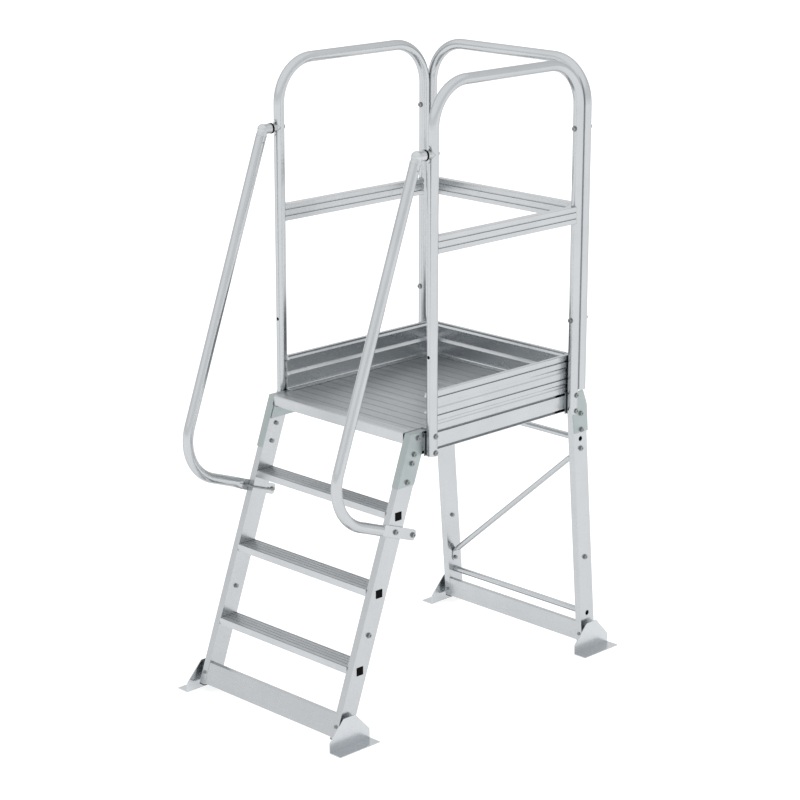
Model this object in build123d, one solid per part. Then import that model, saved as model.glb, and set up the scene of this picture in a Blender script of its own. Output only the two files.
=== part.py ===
from build123d import *
import math
import os

# A one-sided platform ladder in aluminium: a three-step ladder leans against a guarded
# platform that stands on a rear leg frame.  X is the width, Y runs from the ladder foot
# to the back, Z is up.  Pieces are drawn with Y = 0 at the front guard posts and moved
# at the end, so that the origin lies on the floor at the middle of the footprint.

# ---- driving dimensions, mm ----
DECK_TOP = 950.0
GUARD_HEIGHT = 1100.0            # top of the guard rail above the deck
CLEAR_WIDTH = 600.0              # between the stiles
PROFILE_W, PROFILE_D, PROFILE_WALL = 25.0, 65.0, 2.0
LADDER_ANGLE = 70.2              # from the floor
LEG_LEAN = 5.0                   # rear legs from the vertical
LADDER_Y = -377.9                # stile centre line at floor level
REAR_Y = 799.0                   # rear leg centre line at floor level
STEP_PITCH, STEPS = 234.2, 3
TUBE_D, TUBE_WALL, TUBE_BEND = 35.0, 2.0, 140.0
HOOP_X, REAR_POST_Y = 345.0, 664.0
DECK_BACK = 684.0                # outer face of the rear edge beam
PLATE = 2.5                      # galvanised bracket sheet
BOLT_R, HOLE_PLAY = 4.0, 0.1
SLOT_H, SLOT_D, SLOT_LIP = 8.4, 9.0, 2.0   # slots along the edges of the platform beams

# ---- derived places ----
IN_X = CLEAR_WIDTH / 2           # inner face of stiles and legs
OUT_X = IN_X + PROFILE_W         # outer face
EDGE_X = OUT_X + PLATE           # outer face of beams and toe boards
TUBE_R = TUBE_D / 2
BORE_R = TUBE_R - TUBE_WALL
HOOP_TOP = DECK_TOP + GUARD_HEIGHT - TUBE_R
REAR_HOOP_Y = DECK_BACK + TUBE_R
LADDER_RUN = 1 / math.tan(math.radians(LADDER_ANGLE))     # dy/dz of a stile
LEG_RUN = -math.tan(math.radians(LEG_LEAN))               # dy/dz of a rear leg
LEG_BOTTOM, STILE_TOP, LEG_TOP = 28.0, 946.0, 878.0
BEAM_TOP, BEAM_BOTTOM = DECK_TOP - 8, DECK_TOP - 74
SLOT_Z = (BEAM_TOP - SLOT_LIP - SLOT_H / 2, BEAM_BOTTOM + SLOT_LIP + SLOT_H / 2)
TOE_TOP = BEAM_TOP + 126
PIVOT_Z, PIVOT_R, PIVOT_PLAY = 60.0, 6.0, 0.05
FOOT_LEN, FOOT_H, FOOT_FLANGE, FOOT_T = 171.0, 98.0, 47.0, 3.0
FOOT_X = 342.0                   # outer face of the upright foot plate
HIGH_HOLE_Z, LOW_HOLE_Z = 1820.0, 1189.0
MID_BOLT_Z = 336.0
CROSSBAR_Z, CROSSBAR_R = (764.0, 128.0), 10.5
BRACE_Z = (173.0, 730.0)
LEG_BRACKET_Z = (855.0, 798.0)
RAIL_TOP = (-70.0, HIGH_HOLE_Z)  # y, z of the elbow centre
RAIL_OFFSET, RAIL_BEND = 408.5, 150.0


def stile_y(z):
    """Centre line of the ladder stiles."""
    return LADDER_Y + z * LADDER_RUN


def leg_y(z):
    """Centre line of the rear legs."""
    return REAR_Y + z * LEG_RUN


FRONT_PIVOT_Y, BACK_PIVOT_Y = stile_y(PIVOT_Z), leg_y(PIVOT_Z)
ORIGIN_Y = (FRONT_PIVOT_Y + BACK_PIVOT_Y) / 2
STEP_Z = [DECK_TOP - 4.5 - STEP_PITCH * k for k in range(1, STEPS + 1)]
TENON, TENON_WALL, TENON_DROP = 26.0, 2.5, 15.5


# ---- shape helpers ----
def prism_x(points, x0, x1):
    """Extrude an outline in Y and Z from x0 to x1."""
    return extrude(Plane.YZ.offset(x0) * Polygon(*points, align=None), x1 - x0, dir=(1, 0, 0))


def prism_y(points, y0, y1):
    """Extrude an outline in X and Z from y0 to y1."""
    return extrude(Plane.XZ.offset(-y0) * Polygon(*points, align=None), y1 - y0, dir=(0, 1, 0))


def block(x0, x1, y0, y1, z0, z1):
    return Pos((x0 + x1) / 2, (y0 + y1) / 2, (z0 + z1) / 2) * Box(x1 - x0, y1 - y0, z1 - z0)


def rod(start, end, radius):
    """Round bar between two points."""
    axis = Vector(end) - Vector(start)
    plane = Plane(origin=start, z_dir=axis)
    return plane * Cylinder(radius, axis.length, align=(Align.CENTER, Align.CENTER, Align.MIN))


def mirrored(shape):
    """The same piece on the left side."""
    return mirror(shape, about=Plane.YZ)


def both(shape):
    return [shape, mirrored(shape)]


def drill(shape, rods):
    for one in rods:
        shape -= one
    return shape


def sloped(centre_y, run, z0, z1, inset=0.0):
    """Side view of a leaning profile between two levels."""
    half = (PROFILE_D / 2 - inset) * math.hypot(1, run)
    low, high = centre_y(z0), centre_y(z1)
    return [(low - half, z0), (low + half, z0), (high + half, z1), (high - half, z1)]


def leaning_profile(centre_y, run, z0, z1):
    """Hollow rectangular profile, right-hand side."""
    outer = prism_x(sloped(centre_y, run, z0, z1), IN_X, OUT_X)
    hollow = sloped(centre_y, run, z0 - 1, z1 + 1, PROFILE_WALL)
    return outer - prism_x(hollow, IN_X + PROFILE_WALL, OUT_X - PROFILE_WALL)


def front_face(centre_y, run, z):
    return centre_y(z) - PROFILE_D / 2 * math.hypot(1, run)


def back_of_stile(z):
    return stile_y(z) + PROFILE_D / 2 * math.hypot(1, LADDER_RUN)


def bent_tube(points, bend):
    path = FilletPolyline(*points, radius=bend)
    end = Plane(origin=path @ 0, z_dir=path % 0)
    return sweep(end * Circle(TUBE_R), path=path) - sweep(end * Circle(BORE_R), path=path)


def ribbed(start, end, top, every, pitch=7.6, groove=2.6, depth=1.2):
    """Top edge of an anti-slip surface along Y; one groove in every few is a deep channel."""
    count = int((end - start - groove) // pitch)
    first = start + ((end - start) - (count * pitch - (pitch - groove))) / 2
    points = [(start, top)]
    for k in range(count):
        y = first + k * pitch
        wide, low = (0.9, top - 2 * depth) if k % every == every // 2 else (0.0, top - depth)
        points += [(y - wide, top), (y - wide + 0.3, low), (y + groove + wide - 0.3, low)]
        points += [(y + groove + wide, top)]
    return points + [(end, top)]


# ---- fasteners: (hexagon head, shank and washer), (nut) ----
HEXAGON, FLANGE = 1.88, 2.3      # corner radius and flange radius, per shank radius


def bolt(head, tip, radius=BOLT_R):
    """Bolt with a flanged hexagon head at one end and a nut at the other."""
    axis = (Vector(tip) - Vector(head)).normalized()
    start, end = Vector(head), Vector(tip)
    flange = rod(start - axis * 1.6, start, radius * FLANGE)
    hexagon = Plane(origin=start - axis * 6.5, z_dir=axis) * extrude(RegularPolygon(radius * HEXAGON, 6), 5)
    socket = rod(start - axis * 6.6, start - axis * 4.5, radius * 0.7)
    shank = rod(start - axis, end + axis * 7, radius)
    screw = flange + hexagon + shank - socket
    nut = Plane(origin=end, z_dir=axis) * extrude(RegularPolygon(radius * HEXAGON, 6), 5.5)
    return [screw, nut - rod(start, end + axis * 9, radius + 0.02)]


def screw(head, tip, radius=3.0):
    """Low cylinder-head screw."""
    axis = (Vector(tip) - Vector(head)).normalized()
    start = Vector(head)
    cap = rod(start - axis * 2.5, start, radius * 2) - rod(start - axis * 2.6, start - axis, radius * 0.8)
    return cap + rod(start - axis * 0.5, tip, radius)


def shank_hole(bolt_line, radius=BOLT_R + HOLE_PLAY):
    return rod(bolt_line[0], bolt_line[1], radius)


# ---- bolt lines on the right-hand side: head point, far end of the grip ----
SEAT_X = EDGE_X + 3.5            # flat on which the guard posts are bolted
POST_BOLT_HEAD_X = HOOP_X + TUBE_R - 2
POST_BOLT_TIP_X = EDGE_X - SLOT_D - 7     # threaded into the wall behind a slot
POST_LINES = [((POST_BOLT_HEAD_X, y, z), (POST_BOLT_TIP_X, y, z)) for y in (0, REAR_POST_Y)
              for z in SLOT_Z]
BRACKET_GRIPS = {932.0: OUT_X - PROFILE_WALL, 883.0: OUT_X - PROFILE_WALL, 855.5: IN_X, 798.5: IN_X}
BRACKET_LINES = [((EDGE_X, stile_y(z), z), (grip, stile_y(z), z)) for z, grip in BRACKET_GRIPS.items()]
MID_LINES = [((OUT_X, line(MID_BOLT_Z), MID_BOLT_Z), (IN_X, line(MID_BOLT_Z), MID_BOLT_Z))
             for line in (stile_y, leg_y)]
LEG_BRACKET_LINES = [((SEAT_X, leg_y(z), z), (IN_X, leg_y(z), z)) for z in LEG_BRACKET_Z]
TIE_LINES = [((HOOP_X, REAR_POST_Y - TUBE_R, z), (HOOP_X, REAR_HOOP_Y + TUBE_R, z))
             for z in (HIGH_HOLE_Z, LOW_HOLE_Z)]
PIVOT_HOLES = [rod((IN_X - 30, y, PIVOT_Z), (FOOT_X, y, PIVOT_Z), PIVOT_R + PIVOT_PLAY)
               for y in (FRONT_PIVOT_Y, BACK_PIVOT_Y)]


# ---- the handrail's line, right-hand side ----
RAIL_DIR = Vector(0, math.cos(math.radians(LADDER_ANGLE)), math.sin(math.radians(LADDER_ANGLE)))
RUN_DIR = Vector(0, RAIL_DIR.Z, -RAIL_DIR.Y)
ELBOW = Vector(HOOP_X, *RAIL_TOP)
CORNER_DROP = 1127.0             # elbow centre to the corner of the rail, along the rail
RAIL_CORNER = ELBOW - RAIL_DIR * CORNER_DROP
TONGUE_T, TONGUE_H, TONGUE_LEN, NECK_LEN = 6.0, 36.0, 148.0, 32.0
RUN_TUBE_LEN = 242.0             # corner to the start of the pressed neck
NECK_START = RAIL_CORNER + RUN_DIR * RUN_TUBE_LEN
TONGUE_START = NECK_START + RUN_DIR * NECK_LEN
TONGUE_X = OUT_X + TONGUE_T / 2
RAIL_BOLT_REACH = (52.0, 133.0)  # along the tongue


def rail_point(reach, x):
    point = TONGUE_START + RUN_DIR * reach
    return (x, point.Y, point.Z)


STILE_RAIL_LINE, TIP_RAIL_LINE = ((rail_point(reach, OUT_X + TONGUE_T), rail_point(reach, grip))
                                  for reach, grip in zip(RAIL_BOLT_REACH,
                                                         (OUT_X - PROFILE_WALL, OUT_X)))


# ---- ladder ----
def stile():
    body = leaning_profile(stile_y, LADDER_RUN, LEG_BOTTOM, STILE_TOP)
    for z in STEP_Z:
        half = TENON / 2 + HOLE_PLAY
        y = stile_y(z - TENON_DROP)
        mid = z - TENON_DROP
        body -= block(IN_X - 1, OUT_X + 1, y - half, y + half, mid - half, mid + half)
    lines = BRACKET_LINES + MID_LINES[:1] + [STILE_RAIL_LINE]
    body = drill(body, [shank_hole(line) for line in lines])
    return drill(body, [PIVOT_HOLES[0], end_screw_hole(stile_y, LADDER_RUN)])


STEP_DEPTH, STEP_LIP, STEP_PLATE = 74.0, 22.0, 3.0


def step(z):
    """Ribbed tread with a square tube beneath, whose ends pass through the stiles."""
    front = front_face(stile_y, LADDER_RUN, z) - 5
    back = front + STEP_DEPTH
    under = z - STEP_PLATE
    centre, low = stile_y(z - TENON_DROP), z - TENON_DROP - TENON / 2
    outline = [(front, z), (front + 1.5, z), (front + 1.8, z - 2), (front + 6.5, z - 2), (front + 6.8, z)]
    outline += ribbed(front + 8, back, z, 2)
    outline += [(back, z - 14), (back - 2.5, z - 14), (back - 2.5, under), (front + 9, under)]
    outline += [(front + 9, z - 5), (front + 2.5, z - 5), (front + 2.5, z - STEP_LIP), (front, z - STEP_LIP)]
    tread = prism_x(outline, -IN_X, IN_X)
    half = TENON / 2
    tube = block(-OUT_X, OUT_X, centre - half, centre + half, low, low + TENON)
    bore = half - TENON_WALL
    tube -= block(-OUT_X - 1, OUT_X + 1, centre - bore, centre + bore, low + TENON_WALL,
                  low + TENON - TENON_WALL)
    return tread + tube


def step_plugs():
    """Plugs in the open tenons, each with a flange that covers the tenon's end."""
    plugs = []
    for z in STEP_Z:
        centre, mid = stile_y(z - TENON_DROP), z - TENON_DROP
        half, cover = TENON / 2 - TENON_WALL - 0.05, TENON / 2 + 0.4
        plug = block(OUT_X - 12, OUT_X + 1, centre - half, centre + half, mid - half, mid + half)
        flange = block(OUT_X, OUT_X + 2, centre - cover, centre + cover, mid - cover, mid + cover)
        plugs += both(plug + chamfer(flange.faces().sort_by(Axis.X)[-1].edges(), 0.8))
    return plugs


BASE_T, BASE_FLANGE = 3.0, 16.0


def base_plate(centre_y, run, low, high):
    """Channel between two legs, its web flush with their front faces."""
    def face(z):
        return front_face(centre_y, run, z) + 0.5
    web = BASE_T * math.hypot(1, run)
    outline = [(face(low), low), (face(low) + BASE_FLANGE, low), (face(low) + BASE_FLANGE, low + BASE_T)]
    outline += [(face(low + BASE_T) + web, low + BASE_T), (face(high - BASE_T) + web, high - BASE_T)]
    outline += [(face(high) + BASE_FLANGE, high - BASE_T), (face(high) + BASE_FLANGE, high)]
    return prism_x(outline + [(face(high), high)], -IN_X, IN_X)


BRACKET_LOW, BRACKET_BACK, LID_BACK = 785.0, -26.0, -0.5


def ladder_bracket():
    """Sheet folded round the front, the outside and the top of a stile head."""
    half = PROFILE_D / 2 * math.hypot(1, LADDER_RUN)
    skin = PLATE * math.hypot(1, LADDER_RUN)
    front_low, front_high = stile_y(BRACKET_LOW) - half, stile_y(STILE_TOP) - half
    shoulder = LADDER_Y + half
    side = [(front_low - skin, BRACKET_LOW), (stile_y(BRACKET_LOW) + half, BRACKET_LOW)]
    side += [(BRACKET_BACK, (BRACKET_BACK - shoulder) / LADDER_RUN), (BRACKET_BACK, STILE_TOP + PLATE)]
    side += [(front_high - skin, STILE_TOP + PLATE)]
    plate = prism_x(side, OUT_X, EDGE_X)
    wrap = prism_x([(front_low - skin, BRACKET_LOW), (front_low, BRACKET_LOW), (front_high, STILE_TOP),
                    (front_high, STILE_TOP + PLATE), (front_high - skin, STILE_TOP + PLATE)], IN_X, OUT_X)
    lid = block(IN_X, OUT_X, front_high, LID_BACK, STILE_TOP, STILE_TOP + PLATE)
    return drill(plate + wrap + lid, [shank_hole(line) for line in BRACKET_LINES])


def gussets():
    """Inner cheek plates that tie the stile heads to the edge beams."""
    low, shelf, top = 876.0, BEAM_TOP - 0.2, DECK_TOP - 1.2
    front_low, front_top = (front_face(stile_y, LADDER_RUN, z) + 3 for z in (low, top))
    outline = [(front_low, low), (38, low), (38, shelf), (LID_BACK, shelf), (LID_BACK, top), (front_top, top)]
    return both(prism_x(outline, IN_X - PLATE, IN_X))


# ---- rear leg frame ----
def rear_leg(brace_z):
    """Right-hand leg, drilled for the brace at the given level."""
    body = leaning_profile(leg_y, LEG_RUN, LEG_BOTTOM, LEG_TOP)
    bars = [rod((IN_X - 1, leg_y(z), z), (OUT_X + 1, leg_y(z), z), CROSSBAR_R + HOLE_PLAY)
            for z in CROSSBAR_Z]
    lines = MID_LINES[1:] + LEG_BRACKET_LINES
    lines.append(((OUT_X, leg_y(brace_z), brace_z), (IN_X, leg_y(brace_z), brace_z)))
    body = drill(body, bars + [shank_hole(line) for line in lines])
    return drill(body, [PIVOT_HOLES[1], end_screw_hole(leg_y, LEG_RUN)])


def crossbar(z):
    """Round tube through both rear legs, open at its ends."""
    ends = [(-OUT_X, leg_y(z), z), (OUT_X, leg_y(z), z)]
    return rod(*ends, CROSSBAR_R) - rod(*ends, CROSSBAR_R - 2)


BRACE_RISE, BRACE_INSET, BRACE_NECK, BRACE_R = 31.0, 8.0, 16.0, 9.5


def diagonal_brace():
    """Round bar whose pressed ends are bent to lie flat along the legs' inner faces."""
    low, high = (Vector(side * (IN_X - 1.5), leg_y(z), z) for side, z in zip((-1, 1), BRACE_Z))
    bend = Vector(0, LEG_RUN, 1).normalized() * BRACE_RISE + Vector(BRACE_INSET, 0, 0)
    axis = (high - bend - low - bend).normalized()
    start, end = low + bend + axis * BRACE_NECK, high - bend - axis * BRACE_NECK
    body = rod(start, end, BRACE_R)
    for bolt_point, tube_end, side in ((low, start, -1), (high, end, 1)):
        tilt = (tube_end - bolt_point)
        up = Vector(0, tilt.Y, tilt.Z).normalized()
        pad = Plane(origin=bolt_point - Vector(1.5, 0, 0), x_dir=up, z_dir=(1, 0, 0))
        tab = extrude(pad * (Pos(8, 0) * RectangleRounded(40, 22, 10)), 3)
        edge = Plane(origin=bolt_point + up * 26, x_dir=(1, 0, 0), z_dir=up)
        mouth = Plane(origin=tube_end, z_dir=axis)
        neck = loft([edge * Rectangle(3, 20), mouth * Rectangle(16, 16)])
        body += tab + neck
        across = Vector(3, 0, 0)
        body -= rod(bolt_point - across, bolt_point + across, BOLT_R + HOLE_PLAY)
    return body


def rear_bracket():
    """Joggled plate that carries a rear leg head and the foot of the rear guard post."""
    half = PROFILE_D / 2 * math.hypot(1, LEG_RUN)
    low, neck, high = 789.0, 882.0, 934.0
    wing = [(leg_y(low) - half, low), (leg_y(low) + half, low), (leg_y(neck) + half, neck)]
    wing += [(734, high), (DECK_BACK + 1, high), (DECK_BACK + 1, neck)]
    seat = block(EDGE_X, SEAT_X, REAR_POST_Y - 19, DECK_BACK + 3, SEAT_LOW, SEAT_HIGH - 2)
    plate = prism_x(wing, OUT_X, SEAT_X) + seat
    return drill(plate, [shank_hole(line) for line in LEG_BRACKET_LINES + POST_LINES[2:]])


# ---- platform ----
SLOT_PLUG_Y, SLOT_WALL, BEAM_WALL = 622.0, 8.0, 2.5
LEDGE_TOP, LEDGE_T, LEDGE_W = DECK_TOP - 34.2, 4.5, 15.0
BEAM_W = EDGE_X - IN_X
SEAT_LOW, SEAT_HIGH = 868.5, 944.0


def beam_outline(outer):
    """Edge beam section: a box with a slot near the top and near the bottom of its outer side."""
    slot, inner = outer - SLOT_D, outer - BEAM_W
    notches = [(slot, z - SLOT_H / 2, z + SLOT_H / 2) for z in reversed(SLOT_Z)]
    side = [(x, z) for deep, low, high in notches for x, z in ((outer, low), (deep, low), (deep, high),
                                                              (outer, high))]
    return [(inner, BEAM_BOTTOM), (outer, BEAM_BOTTOM)] + side + [(outer, BEAM_TOP), (inner, BEAM_TOP)]


def beam_hollow(outer):
    """The chamber inside, which leaves a thick wall behind the slots."""
    face, thick, inner = outer - BEAM_WALL, outer - SLOT_D - SLOT_WALL, outer - BEAM_W + BEAM_WALL
    low, high = BEAM_BOTTOM + BEAM_WALL, BEAM_TOP - BEAM_WALL
    step = SLOT_LIP + SLOT_H
    return [(inner, low), (thick, low), (thick, low + step), (face, low + step), (face, high - step),
            (thick, high - step), (thick, high), (inner, high)]


def side_beam():
    """Edge beam, coped round the stile head: only its outer wall runs on beside the head."""
    front = BRACKET_BACK + 0.5
    beam = prism_y(beam_outline(EDGE_X), front, DECK_BACK)
    beam -= prism_y(beam_hollow(EDGE_X), front - 1, DECK_BACK + 1)
    back_face = [(back_of_stile(z) + 0.5, z) for z in (BEAM_BOTTOM - 5, BEAM_TOP + 5)]
    cope = [(front - 2, BEAM_BOTTOM - 5)] + back_face + [(front - 2, BEAM_TOP + 5)]
    beam -= prism_x(cope, IN_X - 1, OUT_X + 0.1)
    beam += block(IN_X - LEDGE_W, IN_X + 0.5, 40, DECK_BACK - BEAM_W, LEDGE_TOP - LEDGE_T, LEDGE_TOP)
    return drill(beam, [shank_hole(line) for line in POST_LINES])


def rear_beam():
    beam = prism_x(beam_outline(DECK_BACK), -IN_X, IN_X)
    beam -= prism_x(beam_hollow(DECK_BACK), -IN_X - 1, IN_X + 1)
    inner = DECK_BACK - BEAM_W
    reach = IN_X - LEDGE_W - 0.5
    return beam + block(-reach, reach, inner - LEDGE_W, inner + 0.5, LEDGE_TOP - LEDGE_T, LEDGE_TOP)


TOE_FACE = [(0, 16), (2.4, 19), (2.4, 26), (0, 30), (0, 44), (4, 44), (4, 49), (0, 49), (0, 68),
            (2.4, 72), (2.4, 81), (0, 86), (0, 103), (4, 103), (4, 108), (0, 108), (0, 124), (2, 126)]
TOE_BACK = [(11, 126), (12, 125), (12, 119), (17, 113), (17, 110), (7, 110), (7, 70), (17, 61), (17, 58),
            (7, 58), (7, 15), (9, 12)]


def toe_outline(outer, base):
    """Toe board section: depth inward from the outer face, height above the beam."""
    points = [(0, 0)] + TOE_FACE + TOE_BACK + [(base, 12), (base, 0)]
    return [(outer - depth, BEAM_TOP + height) for depth, height in points]


TOE_BASE = EDGE_X - IN_X + 2.5
TOE_FRONT = 0.0


def side_toe_board():
    return prism_y(toe_outline(EDGE_X, TOE_BASE), TOE_FRONT, DECK_BACK)


def rear_toe_board():
    reach = EDGE_X - TOE_BASE - 0.2
    return prism_x(toe_outline(DECK_BACK, TOE_BASE), -reach, reach)


def toe_corners():
    """Corner posts between the side and rear toe boards."""
    post = block(EDGE_X - TOE_BASE + 0.1, EDGE_X - 17.3, DECK_BACK - 17, DECK_BACK - 0.5,
                 BEAM_TOP + 12.2, TOE_TOP - 1)
    return both(fillet(post.edges().filter_by(Axis.Z), 2.5))


PLANKS, DECK_FRONT, NOSE_FRONT = 3, -46.0, -80.0
DECK_REACH, NOSE_REACH, DECK_THICK = 297.0, 297.2, 34.0


def deck_plank(index):
    """Hollow ribbed plank across the platform."""
    width = (DECK_BACK - TOE_BASE - 0.2 - DECK_FRONT) / PLANKS
    start = DECK_FRONT + index * width + 0.2
    end = start + width - 0.4
    outline = ribbed(start, end, DECK_TOP, 6) + [(end, DECK_TOP - DECK_THICK), (start, DECK_TOP - DECK_THICK)]
    plank = prism_x(outline, -DECK_REACH, DECK_REACH)
    cells, wall = 4, 2.5
    cell = (end - start - wall) / cells
    for k in range(cells):
        y = start + wall + k * cell
        plank -= block(-DECK_REACH - 1, DECK_REACH + 1, y, y + cell - wall,
                       DECK_TOP - DECK_THICK + wall, DECK_TOP - 4)
    return plank


def deck_nosing():
    outline = [(NOSE_FRONT, DECK_TOP - 32), (NOSE_FRONT, DECK_TOP - 3), (NOSE_FRONT + 1, DECK_TOP - 1)]
    outline += ribbed(NOSE_FRONT + 3, DECK_FRONT, DECK_TOP, 6, depth=0.9)
    outline += [(DECK_FRONT, DECK_TOP - 3), (NOSE_FRONT + 3, DECK_TOP - 3), (NOSE_FRONT + 3, DECK_TOP - 29)]
    outline += [(NOSE_FRONT + 7, DECK_TOP - 29), (NOSE_FRONT + 7, DECK_TOP - 32)]
    return prism_x(outline, -NOSE_REACH, NOSE_REACH)


def front_beam():
    """Box section between the stile heads, under the nosing."""
    reach = IN_X - PLATE - 0.1
    front, back, low, high = NOSE_FRONT + 8, DECK_FRONT - 0.5, DECK_TOP - 38, DECK_TOP - 3
    hollow = block(-reach - 1, reach + 1, front + 2.5, back - 2.5, low + 2.5, high - 2.5)
    return block(-reach, reach, front, back, low, high) - hollow


# ---- guard rails ----
def post_seat_cut(y):
    """Wedge taken off the inner side of a post, where it lies on its flat seat."""
    high = SEAT_HIGH + 25
    outline = [(320, 860), (SEAT_X, 860), (SEAT_X, SEAT_HIGH), (EDGE_X - 0.1, high), (320, high)]
    return prism_y(outline, y - 20, y + 20)


def side_hoop():
    corners = [(HOOP_X, 0, SEAT_LOW + 2), (HOOP_X, 0, HOOP_TOP)]
    corners += [(HOOP_X, REAR_POST_Y, HOOP_TOP), (HOOP_X, REAR_POST_Y, SEAT_LOW + 2)]
    hoop = bent_tube(corners, TUBE_BEND)
    hoop = drill(hoop, [post_seat_cut(0), post_seat_cut(REAR_POST_Y)])
    hoop = drill(hoop, [shank_hole(line) for line in POST_LINES + TIE_LINES])
    faces = [rod(head, Vector(head) + Vector(5, 0, 0), BOLT_R * FLANGE + 0.2) for head, _ in POST_LINES]
    front = [rod((HOOP_X, -20, LOW_HOLE_Z), (HOOP_X, 20, LOW_HOLE_Z), 5.5)]
    front += [rod((HOOP_X, -20, HIGH_HOLE_Z), (HOOP_X, 20, HIGH_HOLE_Z), BOLT_R + HOLE_PLAY)]
    return drill(hoop, faces + front)


def rear_hoop():
    low = 949.0
    corners = [(-HOOP_X, REAR_HOOP_Y, low), (-HOOP_X, REAR_HOOP_Y, HOOP_TOP)]
    corners += [(HOOP_X, REAR_HOOP_Y, HOOP_TOP), (HOOP_X, REAR_HOOP_Y, low)]
    holes = [shank_hole(line) for line in TIE_LINES]
    return drill(bent_tube(corners, TUBE_BEND), holes + [mirrored(one) for one in holes])


KNEE_LOW, KNEE_H, KNEE_W = DECK_TOP + 562.5, 55.0, 25.0
KNEE_GROOVES = (17.0, 38.0)      # above the lower edge


def knee_outline(centre):
    """Rail section with two grooves along each side."""
    half, low = KNEE_W / 2, KNEE_LOW
    right = [(centre + half, low + 1)]
    for middle in KNEE_GROOVES:
        bottom, top = low + middle - 2.2, low + middle + 2.2
        right += [(centre + half, bottom), (centre + half - 3.2, bottom)]
        right += [(centre + half - 3.2, top), (centre + half, top)]
    right += [(centre + half, low + KNEE_H - 1), (centre + half - 1, low + KNEE_H)]
    left = [(2 * centre - x, z) for x, z in reversed(right)]
    return [(centre - half + 1, low), (centre + half - 1, low)] + right + left


def knee_core(centre):
    wide, low, high = KNEE_W / 2 - 4.8, KNEE_LOW + 2, KNEE_LOW + KNEE_H - 2
    return [(centre - wide, low), (centre + wide, low), (centre + wide, high), (centre - wide, high)]


def side_knee_rail():
    rail = prism_y(knee_outline(HOOP_X), 10, REAR_POST_Y - 10)
    rail -= prism_y(knee_core(HOOP_X), 5, REAR_POST_Y - 5)
    posts = [rod((HOOP_X, y, KNEE_LOW - 5), (HOOP_X, y, KNEE_LOW + KNEE_H + 5), TUBE_R)
             for y in (0, REAR_POST_Y)]
    return drill(rail, posts)


def rear_knee_rail():
    rail = prism_x(knee_outline(REAR_HOOP_Y), 10 - HOOP_X, HOOP_X - 10)
    rail -= prism_x(knee_core(REAR_HOOP_Y), 5 - HOOP_X, HOOP_X - 5)
    posts = [rod((x, REAR_HOOP_Y, KNEE_LOW - 5), (x, REAR_HOOP_Y, KNEE_LOW + KNEE_H + 5), TUBE_R)
             for x in (-HOOP_X, HOOP_X)]
    return drill(rail, posts)


def post_packers():
    """Flat packing plates under the front guard posts."""
    plate = block(EDGE_X, SEAT_X, -18, 18, SEAT_LOW, SEAT_HIGH - 2)
    return both(drill(plate, [shank_hole(line) for line in POST_LINES[:2]]))


def tie_washers():
    """Spacers between the side and rear guard posts."""
    rings = []
    for line in TIE_LINES:
        z = line[0][2]
        ring = rod((HOOP_X, REAR_POST_Y + TUBE_R, z), (HOOP_X, REAR_HOOP_Y - TUBE_R, z), 8)
        rings += both(ring - shank_hole(line))
    return rings


# ---- handrails ----
RAIL_MOUTH, PLUG_LEN, HEAD_R = 22.0, 38.0, 16.5
RING_BACK, RING_T, STUB_R = -33.0, 8.0, 13.0
RAIL_PIN_REACH = 42.0


def rail_pin_line():
    point = ELBOW - RAIL_DIR * RAIL_PIN_REACH
    return [(HOOP_X + side * TUBE_R, point.Y, point.Z) for side in (1, -1)]


def tongue_section(point, x):
    """Plane across the lower run, with its first axis along X."""
    return Plane(origin=(x, point.Y, point.Z), x_dir=(1, 0, 0), z_dir=RUN_DIR)


def handrail():
    """Sloping tube, bent back to the stile and pressed flat where it is bolted on."""
    mouth = ELBOW - RAIL_DIR * RAIL_MOUTH
    tube = bent_tube([mouth, RAIL_CORNER, NECK_START], RAIL_BEND)
    wide = tongue_section(NECK_START, HOOP_X) * Circle(TUBE_R)
    flat = tongue_section(TONGUE_START, TONGUE_X) * Ellipse(TONGUE_T / 2, TONGUE_H / 2)
    neck = loft([wide, flat])
    pad = Plane(origin=(OUT_X, TONGUE_START.Y, TONGUE_START.Z), x_dir=RUN_DIR, z_dir=(1, 0, 0))
    blade = Pos(TONGUE_LEN / 2 - 4, 0) * RectangleRounded(TONGUE_LEN, TONGUE_H, 9)
    tongue = extrude(pad * blade, TONGUE_T)
    rail = tube + neck + tongue
    return drill(rail, [shank_hole(STILE_RAIL_LINE), shank_hole(TIP_RAIL_LINE), rod(*rail_pin_line(), 2.6)])


def rail_stirrups():
    """Round-wire stirrups that hold the handrail ends round the stiles."""
    wire = 3.0
    places = [(2.0, OUT_X), (2.0, IN_X - wire - 0.1)]
    places += [(RAIL_BOLT_REACH[1] - 20, x) for _, x in reversed(places)]
    path = FilletPolyline(*[rail_point(reach, x) for reach, x in places], radius=6)
    return both(sweep(Plane(origin=path @ 0, z_dir=path % 0) * Circle(wire), path=path))


def elbow_head():
    """Knuckle at the top of a handrail, with its plug inside the tube."""
    mouth = ELBOW - RAIL_DIR * RAIL_MOUTH
    ring_front = RING_BACK - RING_T
    head = Pos(ELBOW) * Sphere(HEAD_R + 1.5) + rod(mouth + RAIL_DIR * 6, mouth, HEAD_R + 1.8)
    head += rod(ELBOW, (HOOP_X, ring_front, HIGH_HOLE_Z), HEAD_R)
    head += rod(ELBOW, mouth, HEAD_R)
    head += rod(mouth, (mouth - RAIL_DIR * PLUG_LEN), BORE_R - 0.05)
    bore = rod((HOOP_X, ring_front + 1, HIGH_HOLE_Z), (HOOP_X, ring_front - 22, HIGH_HOLE_Z),
               BOLT_R + HOLE_PLAY)
    return drill(head, [bore, rod(*rail_pin_line(), 2.6)])


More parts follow.
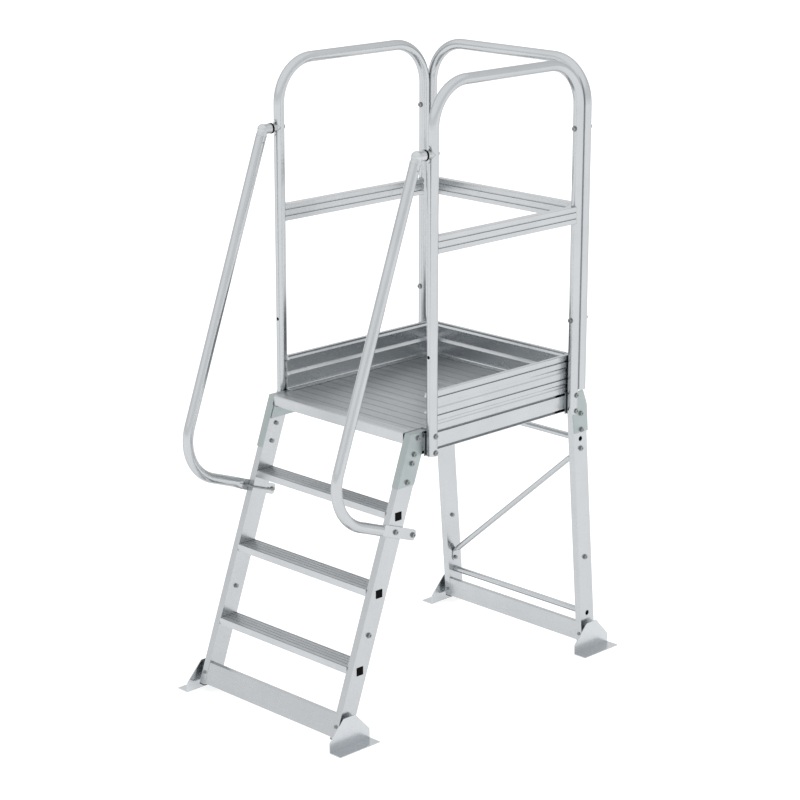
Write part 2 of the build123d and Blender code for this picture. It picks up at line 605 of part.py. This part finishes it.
def elbow_rings():
    ring = rod((HOOP_X, RING_BACK - RING_T, HIGH_HOLE_Z), (HOOP_X, RING_BACK, HIGH_HOLE_Z), HEAD_R + 1)
    ring = fillet(ring.edges(), 2)
    return both(ring - rod((HOOP_X, -50, HIGH_HOLE_Z), (HOOP_X, -30, HIGH_HOLE_Z), BOLT_R + HOLE_PLAY))


def elbow_stubs():
    """Short tubes between the knuckles and the front guard posts, saddled on the posts."""
    stub = rod((HOOP_X, RING_BACK, HIGH_HOLE_Z), (HOOP_X, -5, HIGH_HOLE_Z), STUB_R)
    stub -= rod((HOOP_X, 0, HIGH_HOLE_Z - 30), (HOOP_X, 0, HIGH_HOLE_Z + 30), TUBE_R)
    saddle = prism_y([(HOOP_X - 17, HIGH_HOLE_Z), (HOOP_X, HIGH_HOLE_Z - 27), (HOOP_X + 17, HIGH_HOLE_Z),
                      (HOOP_X, HIGH_HOLE_Z + 27)], -25, -6)
    saddle &= rod((HOOP_X, 0, HIGH_HOLE_Z - 30), (HOOP_X, 0, HIGH_HOLE_Z + 30), TUBE_R + 2.5)
    saddle -= rod((HOOP_X, 0, HIGH_HOLE_Z - 30), (HOOP_X, 0, HIGH_HOLE_Z + 30), TUBE_R)
    hole = rod((HOOP_X, -50, HIGH_HOLE_Z), (HOOP_X, 0, HIGH_HOLE_Z), BOLT_R + HOLE_PLAY)
    return both(stub + saddle - hole)


# ---- feet ----
END_SCREW_LEN, END_SCREW_R = 20.0, 3.0
END_SCREW_Z = {stile_y: 65.0, leg_y: 54.0}
BLOCK_TOP, SPACER_R, NUT_T = 96.0, 13.0, 8.0


def end_screw_line(centre_y, run):
    """Screw square to the front face, into the block in the leg's end."""
    z = END_SCREW_Z[centre_y]
    start = Vector((IN_X + OUT_X) / 2, front_face(centre_y, run, z), z)
    return start, start + Vector(0, 1, -run).normalized() * END_SCREW_LEN


def end_screw_hole(centre_y, run):
    start, end = end_screw_line(centre_y, run)
    return rod(start - (end - start) * 0.15, end, END_SCREW_R + HOLE_PLAY)


def leg_end_blocks():
    """Moulded blocks that close the leg ends and carry the foot pivots."""
    blocks = []
    for (line, run), pivot in zip(((stile_y, LADDER_RUN), (leg_y, LEG_RUN)), PIVOT_HOLES):
        core = prism_x(sloped(line, run, LEG_BOTTOM - 0.5, BLOCK_TOP, PROFILE_WALL + 0.05),
                       IN_X + PROFILE_WALL + 0.05, OUT_X - PROFILE_WALL - 0.05)
        cap = prism_x(sloped(line, run, LEG_BOTTOM - 3, LEG_BOTTOM, 0.5), IN_X + 0.5, OUT_X - 0.5)
        blocks += both(drill(core + cap, [pivot, end_screw_hole(line, run)]))
    return blocks


def foot_spacers():
    rings = []
    for y, pivot in zip((FRONT_PIVOT_Y, BACK_PIVOT_Y), PIVOT_HOLES):
        rings += both(rod((OUT_X, y, PIVOT_Z), (FOOT_X - FOOT_T - 0.3, y, PIVOT_Z), SPACER_R) - pivot)
    return rings


def pivot_nuts():
    nuts = []
    for y, pivot in zip((FRONT_PIVOT_Y, BACK_PIVOT_Y), PIVOT_HOLES):
        washer = rod((IN_X - 2, y, PIVOT_Z), (IN_X, y, PIVOT_Z), 11)
        side = Plane(origin=(IN_X - 2 - NUT_T, y, PIVOT_Z), z_dir=(1, 0, 0))
        hexagon = side * extrude(RegularPolygon(10, 6), NUT_T)
        nuts += both(washer + hexagon - pivot)
    return nuts


def foot_plate(y):
    """Bell-shaped upright plate with an outward flange and a welded pivot stud."""
    inner = FOOT_X - FOOT_T
    outer = FOOT_X + FOOT_FLANGE
    half, shoulder, crown = FOOT_LEN / 2, 33.0, 24.0
    corner = [(inner, 0), (outer, 0), (outer, FOOT_T), (FOOT_X, FOOT_T), (FOOT_X, FOOT_H), (inner, FOOT_H)]
    angle = prism_y(corner, y - half, y + half)
    bend = angle.edges().filter_by(Axis.Y).group_by(Axis.Z)[0].sort_by(Axis.X)[0]
    angle = fillet(bend, FOOT_T + 1)
    bell = Polygon((-half, 0), (half, 0), (half, shoulder), (crown, FOOT_H), (-crown, FOOT_H),
                   (-half, shoulder), align=None)
    bell = fillet(bell.vertices().filter_by(lambda v: v.Y > 1), 9)
    bell = extrude(Plane.YZ.offset(inner - 1) * (Pos(y, 0) * bell), FOOT_FLANGE + 10, dir=(1, 0, 0))
    stud = rod((IN_X - 2 - NUT_T - 4, y, PIVOT_Z), (inner + 1, y, PIVOT_Z), PIVOT_R)
    return (angle & bell) + stud


# ---- fasteners ----
def post_bolts():
    """Bolts threaded into the beams, so without nuts."""
    short = Vector(7.5, 0, 0)
    return [piece for head, tip in POST_LINES for piece in both(bolt(head, Vector(tip) + short)[0])]


def hoop_tie_bolts():
    return [piece for line in TIE_LINES for one in bolt(*line) for piece in both(one)]


def ladder_bolts():
    lines = BRACKET_LINES + MID_LINES[:1] + [STILE_RAIL_LINE, TIP_RAIL_LINE]
    return [piece for line in lines for one in bolt(*line) for piece in both(one)]


def rear_frame_bolts():
    """Bolts of the rear legs; the brace is bolted high on the right and low on the left."""
    def side(brace_z):
        y = leg_y(brace_z)
        lines = MID_LINES[1:] + LEG_BRACKET_LINES + [((OUT_X, y, brace_z), (IN_X - 3, y, brace_z))]
        return [one for line in lines for one in bolt(*line)]
    return side(BRACE_Z[1]) + [mirrored(one) for one in side(BRACE_Z[0])]


def elbow_bolts():
    line = ((HOOP_X, TUBE_R, HIGH_HOLE_Z), (HOOP_X, RING_BACK - RING_T - 21, HIGH_HOLE_Z))
    return both(screw(*line, BOLT_R))


def rail_pins():
    return both(rod(*rail_pin_line(), 2.5))


def slot_plugs():
    """Round plugs in the slots of the side beams, by the rear posts."""
    return [piece for z in SLOT_Z for piece in both(
        rod((EDGE_X - SLOT_D, SLOT_PLUG_Y, z), (EDGE_X + 1.5, SLOT_PLUG_Y, z), SLOT_H / 2 - 0.1))]


def leg_end_screws():
    return [piece for line in ((stile_y, LADDER_RUN), (leg_y, LEG_RUN))
            for piece in both(screw(*end_screw_line(*line), END_SCREW_R))]


# ---- all nodes ----
nodes = {}
for name, make in (("stile", stile), ("ladder_bracket", ladder_bracket), ("rear_bracket", rear_bracket),
                   ("side_beam", side_beam), ("toe_board", side_toe_board), ("guard_hoop", side_hoop),
                   ("knee_rail", side_knee_rail), ("handrail", handrail), ("elbow_head", elbow_head)):
    nodes[name + "_right"] = make()
    nodes[name + "_left"] = mirrored(nodes[name + "_right"])
nodes["rear_leg_right"], nodes["rear_leg_left"] = rear_leg(BRACE_Z[1]), mirrored(rear_leg(BRACE_Z[0]))
for place, pivot_y in (("front", FRONT_PIVOT_Y), ("rear", BACK_PIVOT_Y)):
    nodes[f"foot_plate_{place}_right"] = foot_plate(pivot_y)
    nodes[f"foot_plate_{place}_left"] = mirrored(nodes[f"foot_plate_{place}_right"])
for number, level in enumerate(reversed(STEP_Z), start=1):
    nodes[f"step_{number}"] = step(level)
for number in range(PLANKS):
    nodes[f"deck_plank_{number + 1}"] = deck_plank(number)
nodes["ladder_base_plate"] = base_plate(stile_y, LADDER_RUN, 32.0, 98.5)
nodes["rear_base_plate"] = base_plate(leg_y, LEG_RUN, 29.0, 97.5)
nodes["rear_crossbar_upper"], nodes["rear_crossbar_lower"] = (crossbar(z) for z in CROSSBAR_Z)
for make in (diagonal_brace, rear_beam, rear_toe_board, deck_nosing, front_beam, rear_hoop, rear_knee_rail):
    nodes[make.__name__] = make()
for make in (step_plugs, gussets, toe_corners, post_packers, tie_washers,
             rail_stirrups, elbow_rings, elbow_stubs, leg_end_blocks, foot_spacers, pivot_nuts, post_bolts,
             hoop_tie_bolts, ladder_bolts, rear_frame_bolts, elbow_bolts, rail_pins, slot_plugs,
             leg_end_screws):
    nodes[make.__name__] = Compound(children=[Part(one.wrapped) for one in make()])

os.makedirs("parts", exist_ok=True)
for name, shape in nodes.items():
    export_step(Pos(0, -ORIGIN_Y, 0) * shape, f"parts/{name}.step")
print(len(nodes), "nodes; origin at", round(ORIGIN_Y, 2), "behind the front guard posts")
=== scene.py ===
import math

import bpy
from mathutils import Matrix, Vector

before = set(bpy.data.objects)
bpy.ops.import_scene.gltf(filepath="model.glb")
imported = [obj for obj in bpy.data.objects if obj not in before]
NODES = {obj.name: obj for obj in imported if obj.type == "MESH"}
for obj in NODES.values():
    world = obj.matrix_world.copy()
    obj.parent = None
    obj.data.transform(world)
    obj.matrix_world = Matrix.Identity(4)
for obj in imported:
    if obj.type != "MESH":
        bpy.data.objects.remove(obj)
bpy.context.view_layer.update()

# Lean of the ladder stiles and of the rear legs, as a turn about X from the vertical.
LADDER_LEAN = math.radians(19.8)
LEG_LEAN = math.radians(-5.0)

ALUMINIUM = (0.50, 0.52, 0.535)
TUBE_ROUGHNESS = (0.16, 0.26)
GROOVE_REACH = 0.009             # m, how far the painted recess shade looks for a wall
RANGE_SLOTS = ("From Min", "From Max", "To Min", "To Max")

# Studio: a pale floor that glows a little, and white all round it.
FLOOR_REACH = 60.0               # m, half the floor's side
FLOOR_TONES = (0.44, 0.44, 0.44), (0.46, 0.46, 0.46)
FLOOR_GLOW = 0.76
PATCH_BRIGHTNESS = 0.95          # low down behind the ladder, where 1 is the rest
SUN_STRENGTH, SUN_ANGLE = 0.5, math.radians(120)

CAMERA_PLACE = (5.309, -5.3187, 3.092)
CAMERA_TURN = (math.radians(90 - 16.01), math.radians(-0.05), math.radians(45.04))
FOCAL_LENGTH, SENSOR_WIDTH = 107.6, 36.0


# ---------------------------------------------------------------- shader helpers
def shade(tone, factor):
    """A tone made darker or lighter."""
    return tuple(min(1.0, part * factor) for part in tone)


class Shader:
    """A small builder for one node material."""

    def __init__(self, name, roll=(0.0, 0.0, 0.0)):
        self.mat = bpy.data.materials.new(name)
        self.mat.use_nodes = True
        self.tree = self.mat.node_tree
        self.bsdf = self.tree.nodes["Principled BSDF"]
        self.coords = self.node("ShaderNodeTexCoord").outputs["Object"]
        self.roll = roll

    def node(self, kind, **settings):
        made = self.tree.nodes.new(kind)
        for key, value in settings.items():
            setattr(made, key, value)
        return made

    def link(self, source, target):
        self.tree.links.new(source, target)

    def set(self, name, value):
        """A value that is the same all over the surface."""
        self.bsdf.inputs[name].default_value = value

    def place(self, scale):
        """Object coordinates, turned by the piece's lean and scaled per axis."""
        turn = self.node("ShaderNodeMapping", vector_type="TEXTURE")
        turn.inputs["Rotation"].default_value = self.roll
        self.link(self.coords, turn.inputs["Vector"])
        grow = self.node("ShaderNodeMapping")
        grow.inputs["Scale"].default_value = scale
        self.link(turn.outputs["Vector"], grow.inputs["Vector"])
        return grow.outputs["Vector"]

    def noise(self, scale, detail=3.0, rough=0.55):
        """Noise with its own scale per axis, in lines to the metre."""
        made = self.node("ShaderNodeTexNoise")
        made.inputs["Scale"].default_value = 1.0
        made.inputs["Detail"].default_value = detail
        made.inputs["Roughness"].default_value = rough
        self.link(self.place(scale), made.inputs["Vector"])
        return made.outputs["Fac"]

    def spread(self, value, low, high, out_low=0.0, out_high=1.0):
        """Stretches a 0 to 1 value over a new range."""
        made = self.node("ShaderNodeMapRange")
        for name, number in zip(RANGE_SLOTS, (low, high, out_low, out_high)):
            made.inputs[name].default_value = number
        self.link(value, made.inputs["Value"])
        return made.outputs["Result"]

    def maths(self, operation, a, b):
        made = self.node("ShaderNodeMath", operation=operation)
        for slot, value in zip(made.inputs, (a, b)):
            if isinstance(value, (int, float)):
                slot.default_value = value
            else:
                self.link(value, slot)
        return made.outputs["Value"]

    def blend(self, factor, a, b):
        """Colour a where factor is 0, b where it is 1."""
        made = self.node("ShaderNodeMix", data_type="RGBA")
        self.link(factor, made.inputs["Factor"])
        for slot, value in ((made.inputs["A"], a), (made.inputs["B"], b)):
            if isinstance(value, tuple):
                slot.default_value = (*value, 1.0)
            else:
                self.link(value, slot)
        return made.outputs["Result"]

    def worn_edges(self, radius):
        """A normal with softened edges, and 1 on those edges, 0 on flats."""
        soft = self.node("ShaderNodeBevel", samples=4)
        soft.inputs["Radius"].default_value = radius
        flat = self.node("ShaderNodeNewGeometry")
        dot = self.node("ShaderNodeVectorMath", operation="DOT_PRODUCT")
        self.link(soft.outputs["Normal"], dot.inputs[0])
        self.link(flat.outputs["Normal"], dot.inputs[1])
        return soft.outputs["Normal"], self.spread(dot.outputs["Value"], 0.995, 0.80)

    def recess_shade_mask(self, reach):
        """Ambient occlusion mask for painted shade: 0 on open faces, 1 in grooves, slots and tight
        corners.
        """
        hollow = self.node("ShaderNodeAmbientOcclusion", samples=6)
        hollow.inputs["Distance"].default_value = reach
        return self.spread(hollow.outputs["AO"], 0.72, 0.30)

    def facing_away(self):
        """0 seen straight on, 1 at the outline of a round piece; the mask for painted outline shade."""
        made = self.node("ShaderNodeLayerWeight")
        made.inputs["Blend"].default_value = 0.5
        return self.spread(made.outputs["Facing"], 0.30, 0.85)

    def bump(self, height, distance, normal=None, strength=1.0):
        made = self.node("ShaderNodeBump")
        made.inputs["Strength"].default_value = strength
        made.inputs["Distance"].default_value = distance
        self.link(height, made.inputs["Height"])
        if normal is not None:
            self.link(normal, made.inputs["Normal"])
        return made.outputs["Normal"]

    def finish(self, colour, roughness, normal):
        self.link(colour, self.bsdf.inputs["Base Color"])
        self.link(roughness, self.bsdf.inputs["Roughness"])
        self.link(normal, self.bsdf.inputs["Normal"])
        return self.mat


# ---------------------------------------------------------------- materials
def drawn_metal(name, length_axis, roll=(0.0, 0.0, 0.0), tone=ALUMINIUM, rough=(0.20, 0.30),
                outline_shade=0.0, recess_shade_strength=0.7):
    """Bright extruded or drawn aluminium, with fine lines along its length, painted shade in its grooves
    and, where asked, painted shade toward the outline of round pieces.
    """
    s = Shader(name, roll)
    s.set("Metallic", 1.0)
    lines = [900.0, 900.0, 900.0]
    lines[length_axis] = 6.0
    bands = [160.0, 160.0, 160.0]
    bands[length_axis] = 1.5
    fine = s.noise(lines, detail=2.0)
    broad = s.noise(bands, detail=2.0)
    cloud = s.noise((7.0, 7.0, 7.0), detail=4.0)
    smudge = s.noise((45.0, 45.0, 45.0), detail=6.0, rough=0.7)
    normal, worn = s.worn_edges(0.0006)
    colour = s.blend(s.spread(cloud, 0.3, 0.7), shade(tone, 0.97), shade(tone, 1.03))
    colour = s.blend(s.spread(broad, 0.45, 0.8, 0.0, 0.2), colour, shade(tone, 0.92))
    colour = s.blend(s.spread(smudge, 0.62, 0.80, 0.0, 0.2), colour, shade(tone, 0.90))
    colour = s.blend(s.maths("MULTIPLY", worn, 0.5), colour, shade(tone, 1.18))
    # Painted shade: round pieces darkened toward their outlines.
    if outline_shade:
        colour = s.blend(s.maths("MULTIPLY", s.facing_away(), outline_shade), colour, shade(tone, 0.5))
    # Painted shade: grooves, slots and tight corners darkened by ambient occlusion.
    colour = s.blend(s.maths("MULTIPLY", s.recess_shade_mask(GROOVE_REACH), recess_shade_strength), colour, shade(tone, 0.16))
    streak = s.maths("ADD", s.maths("MULTIPLY", fine, 0.25), s.maths("MULTIPLY", smudge, 0.75))
    roughness = s.spread(streak, 0.3, 0.7, rough[0], rough[1])
    return s.finish(colour, roughness, s.bump(fine, 0.00003, normal, 0.12))


def tread_metal(name, tone=ALUMINIUM):
    """Ribbed deck and step metal: mill finish, painted shade in the grooves, scuffed rib tops."""
    s = Shader(name)
    s.set("Metallic", 1.0)
    fine = s.noise((5.0, 1200.0, 1200.0), detail=2.0)
    scuff = s.noise((60.0, 90.0, 60.0), detail=6.0, rough=0.7)
    cloud = s.noise((5.0, 5.0, 5.0), detail=3.0)
    normal, worn = s.worn_edges(0.0005)
    colour = s.blend(s.spread(cloud, 0.3, 0.7), shade(tone, 0.96), shade(tone, 1.04))
    colour = s.blend(s.spread(scuff, 0.55, 0.75, 0.0, 0.4), colour, shade(tone, 1.12))
    colour = s.blend(s.maths("MULTIPLY", worn, 0.3), colour, shade(tone, 1.15))
    # Painted shade in the rib grooves and corners, from ambient occlusion.
    colour = s.blend(s.maths("MULTIPLY", s.recess_shade_mask(0.004), 0.35), colour, shade(tone, 0.3))
    roughness = s.spread(scuff, 0.3, 0.75, 0.36, 0.26)
    return s.finish(colour, roughness, s.bump(fine, 0.00003, normal, 0.5))


def zinc_metal(name, tone=(0.385, 0.43, 0.43)):
    """Zinc-plated sheet, matt and cloudy, with faint spangles."""
    s = Shader(name)
    s.set("Metallic", 1.0)
    cells = s.node("ShaderNodeTexVoronoi", feature="F1")
    s.link(s.place((120.0, 120.0, 120.0)), cells.inputs["Vector"])
    spangle = s.node("ShaderNodeSeparateColor")
    s.link(cells.outputs["Color"], spangle.inputs["Color"])
    cloud = s.noise((18.0, 18.0, 18.0), detail=4.0)
    grain = s.noise((1500.0, 1500.0, 1500.0), detail=2.0)
    normal, worn = s.worn_edges(0.0007)
    colour = s.blend(s.spread(spangle.outputs["Red"], 0.0, 1.0), shade(tone, 0.98), shade(tone, 1.03))
    colour = s.blend(s.spread(cloud, 0.35, 0.7, 0.0, 0.5), colour, shade(tone, 0.90))
    colour = s.blend(s.maths("MULTIPLY", worn, 0.5), colour, shade(tone, 1.35))
    # Painted shade: grooves and tight corners darkened by ambient occlusion.
    colour = s.blend(s.maths("MULTIPLY", s.recess_shade_mask(GROOVE_REACH), 0.7), colour, shade(tone, 0.25))
    roughness = s.spread(cloud, 0.2, 0.8, 0.30, 0.42)
    return s.finish(colour, roughness, s.bump(grain, 0.00003, normal, 0.4))


def cast_metal(name, tone=(0.53, 0.55, 0.56)):
    """Tumbled aluminium casting."""
    s = Shader(name)
    s.set("Metallic", 1.0)
    pits = s.noise((700.0, 700.0, 700.0), detail=5.0, rough=0.7)
    cloud = s.noise((40.0, 40.0, 40.0), detail=4.0)
    normal, worn = s.worn_edges(0.0012)
    colour = s.blend(s.spread(cloud, 0.3, 0.7), shade(tone, 0.95), shade(tone, 1.06))
    colour = s.blend(s.maths("MULTIPLY", worn, 0.5), colour, shade(tone, 1.25))
    roughness = s.spread(pits, 0.3, 0.75, 0.24, 0.40)
    return s.finish(colour, roughness, s.bump(pits, 0.0001, normal, 0.5))


def fastener_metal(name, tone=(0.29, 0.305, 0.305)):
    """Zinc-plated bolts and nuts, a little stained."""
    s = Shader(name)
    s.set("Metallic", 1.0)
    grain = s.noise((1100.0, 1100.0, 1100.0), detail=4.0)
    stain = s.noise((160.0, 160.0, 160.0), detail=5.0, rough=0.65)
    normal, worn = s.worn_edges(0.0004)
    colour = s.blend(s.spread(stain, 0.35, 0.7), shade(tone, 0.8), shade(tone, 1.15))
    colour = s.blend(s.maths("MULTIPLY", worn, 0.6), colour, shade(tone, 1.8))
    roughness = s.spread(stain, 0.3, 0.75, 0.24, 0.42)
    return s.finish(colour, roughness, s.bump(grain, 0.00004, normal, 0.6))


def black_plastic(name):
    """Moulded black plastic with a fine texture and dust in the grain."""
    s = Shader(name)
    s.set("Specular IOR Level", 0.04)
    grain = s.noise((1800.0, 1800.0, 1800.0), detail=3.0)
    dust = s.noise((90.0, 90.0, 90.0), detail=5.0)
    normal, worn = s.worn_edges(0.0006)
    colour = s.blend(s.spread(dust, 0.5, 0.8), (0.002, 0.002, 0.002), (0.006, 0.006, 0.0065))
    colour = s.blend(s.maths("MULTIPLY", worn, 0.3), colour, (0.02, 0.02, 0.02))
    roughness = s.spread(dust, 0.3, 0.8, 0.45, 0.62)
    return s.finish(colour, roughness, s.bump(grain, 0.00006, normal, 0.7))


X, Y, Z = 0, 1, 2
along_ladder = drawn_metal("stile_metal", Z, roll=(-LADDER_LEAN, 0.0, 0.0))
along_leg = drawn_metal("leg_metal", Z, roll=(-LEG_LEAN, 0.0, 0.0))
along_x = drawn_metal("profile_x", X)
along_y = drawn_metal("profile_y", Y)
tube = drawn_metal("tube_metal", Z, rough=TUBE_ROUGHNESS, outline_shade=0.6, recess_shade_strength=0.45)
rail_tube = drawn_metal("rail_tube", Z, roll=(-LADDER_LEAN, 0.0, 0.0), rough=TUBE_ROUGHNESS, outline_shade=0.55)
feet = drawn_metal("foot_metal", Y, tone=(0.565, 0.59, 0.61), recess_shade_strength=0.15)
tread, zinc, cast = tread_metal("tread_metal"), zinc_metal("zinc_sheet"), cast_metal("cast_metal")
steel, plastic = fastener_metal("fastener_steel"), black_plastic("black_plastic")

# The starts of node names, and their material; every other node is a fastener.
FINISH = (
    (("stile",), along_ladder), (("rear_leg",), along_leg),
    (("side_beam", "toe_board", "knee_rail"), along_y),
    (("rear_beam", "rear_toe", "rear_knee", "front_beam", "ladder_base", "rear_base"), along_x),
    (("guard_hoop", "rear_hoop", "rear_crossbar", "diagonal_brace", "elbow_stubs"), tube),
    (("handrail",), rail_tube), (("toe_corners",), along_leg),
    (("deck_", "step_1", "step_2", "step_3"), tread),
    (("ladder_bracket", "rear_bracket", "gussets", "post_packers"), zinc),
    (("foot_plate",), feet), (("elbow_head",), cast),
    (("step_plugs", "slot_plugs", "elbow_rings", "leg_end_blocks"), plastic),
)
for name, piece in NODES.items():
    chosen = next((mat for starts, mat in FINISH if name.startswith(starts)), steel)
    piece.data.materials.clear()
    piece.data.materials.append(chosen)


# ---------------------------------------------------------------- floor, light, camera
def studio():
    mesh = bpy.data.meshes.new("floor")
    corners = [(x * FLOOR_REACH, y * FLOOR_REACH, 0) for x, y in ((-1, -1), (1, -1), (1, 1), (-1, 1))]
    mesh.from_pydata(corners, [], [(0, 1, 2, 3)])
    floor = bpy.data.objects.new("floor", mesh)
    bpy.context.scene.collection.objects.link(floor)
    paint = Shader("floor_paint")
    grain = paint.noise((3.0, 3.0, 3.0), detail=3.0)
    colour = paint.blend(paint.spread(grain, 0.3, 0.7), *FLOOR_TONES)
    paint.finish(colour, paint.spread(grain, 0.3, 0.7, 0.75, 0.85), paint.bump(grain, 0.0005, None, 0.1))
    paint.set("Specular IOR Level", 0.1)
    paint.set("Emission Color", (1.0, 1.0, 1.0, 1.0))
    paint.set("Emission Strength", FLOOR_GLOW)
    mesh.materials.append(paint.mat)

    # White all round, but for a greyer patch low down behind the ladder.
    world = bpy.data.worlds.new("studio")
    bpy.context.scene.world = world
    world.use_nodes = True
    tree = world.node_tree

    def ramp(value, low, high, low_tone, high_tone):
        made = tree.nodes.new("ShaderNodeMapRange")
        made.interpolation_type = "SMOOTHSTEP"
        for name, number in zip(RANGE_SLOTS, (low, high, low_tone, high_tone)):
            made.inputs[name].default_value = number
        tree.links.new(value, made.inputs["Value"])
        return made.outputs["Result"]

    coords = tree.nodes.new("ShaderNodeTexCoord")
    behind = tree.nodes.new("ShaderNodeVectorMath")
    behind.operation = "DOT_PRODUCT"
    behind.inputs[1].default_value = (-0.7, 0.7, 0.0)
    height = tree.nodes.new("ShaderNodeSeparateXYZ")
    tree.links.new(coords.outputs["Generated"], behind.inputs[0])
    tree.links.new(coords.outputs["Generated"], height.inputs["Vector"])
    patch = tree.nodes.new("ShaderNodeMath")
    patch.operation = "MULTIPLY"
    tree.links.new(ramp(behind.outputs["Value"], 0.2, 0.8, 0.0, 1.0), patch.inputs[0])
    tree.links.new(ramp(height.outputs["Z"], 0.35, 0.75, 1.0, 0.0), patch.inputs[1])
    sky = tree.nodes["Background"].inputs
    tree.links.new(ramp(patch.outputs["Value"], 0.0, 1.0, 1.0, PATCH_BRIGHTNESS), sky["Strength"])
    sky["Color"].default_value = (1.0, 1.0, 1.0, 1.0)

    sun = bpy.data.lights.new("overhead", "SUN")
    sun.energy, sun.angle = SUN_STRENGTH, SUN_ANGLE
    made = bpy.data.objects.new("overhead", sun)
    made.rotation_euler = Vector((0.0, 3.0, -10.0)).to_track_quat("-Z", "Y").to_euler()
    bpy.context.scene.collection.objects.link(made)


def camera():
    data = bpy.data.cameras.new("camera")
    data.lens, data.sensor_width = FOCAL_LENGTH, SENSOR_WIDTH
    data.clip_end = 200.0
    made = bpy.data.objects.new("camera", data)
    made.location = CAMERA_PLACE
    made.rotation_euler = CAMERA_TURN
    bpy.context.scene.collection.objects.link(made)
    bpy.context.scene.camera = made


studio()
camera()
bpy.context.scene.view_settings.view_transform = "Standard"
bpy.context.scene.view_settings.look = "None"
